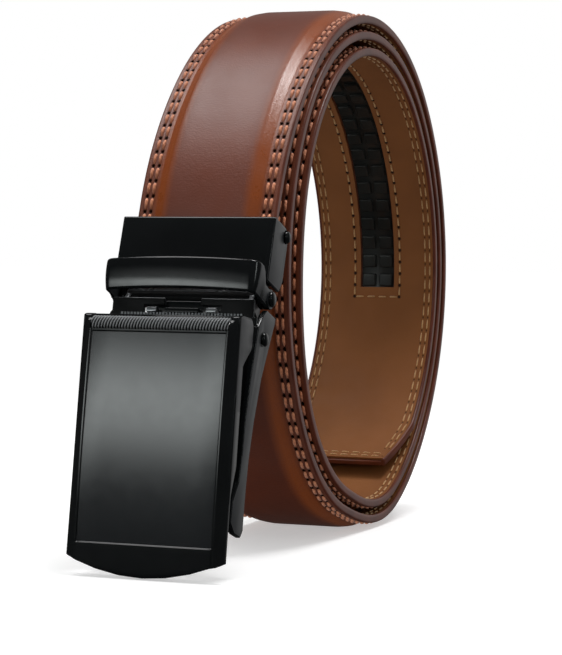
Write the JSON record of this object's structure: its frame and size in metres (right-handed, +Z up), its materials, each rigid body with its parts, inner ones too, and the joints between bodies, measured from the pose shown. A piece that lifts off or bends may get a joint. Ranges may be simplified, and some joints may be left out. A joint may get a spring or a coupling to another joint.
{
  "type": "ratchet belt",
  "caption": "Padded leather belt rolled into an upright coil, with a toothed track under its free end and a lift-up plate buckle clamped to the other end.",
  "frame": {"origin": "on the surface that the belt stands on, under the middle of its box", "axes": "+X across the strap, -Y from the coil towards the buckle's face, +Z up"},
  "size_m": [0.0406, 0.1804, 0.1367],
  "materials": {
    "leather": "smooth brown leather, softly polished",
    "lining": "matt brown lining leather",
    "track": "black moulded nylon",
    "black_metal": "glossy black plating, satin on the side walls",
    "steel": "plain steel"
  },
  "bodies": {
    "belt": {"strap": "leather", "lining": "lining", "ratchet_track": "track", "clamp_box": "black_metal", "jaw_pin": "black_metal", "hinge_pin": "black_metal"},
    "jaw": {"clamp_jaw": "black_metal"},
    "keeper": {"keeper_loop": "black_metal"},
    "buckle_frame": {"frame": "black_metal", "pawl_pin": "black_metal", "pawl": "steel", "lid_pin": "steel"},
    "lid": {"lid": "black_metal"}
  },
  "joints": [
    {"name": "jaw_hinge", "type": "hinge", "parent": "belt", "child": "jaw", "pos_m": [0, -0.05193, 0.07624], "axis": [1, 0, 0], "range_deg": [0, 20]},
    {"name": "keeper_hinge", "type": "hinge", "parent": "belt", "child": "keeper", "pos_m": [0, -0.06137, 0.06191], "axis": [1, 0, 0], "range_deg": [-4, 12]},
    {"name": "frame_hinge", "type": "hinge", "parent": "belt", "child": "buckle_frame", "pos_m": [0, -0.06137, 0.06191], "axis": [1, 0, 0], "range_deg": [-15, 30]},
    {"name": "lid_hinge", "type": "hinge", "parent": "buckle_frame", "child": "lid", "pos_m": [0, -0.08341, 0.01401], "axis": [1, 0, 0], "range_deg": [-2, 25]}
  ]
}
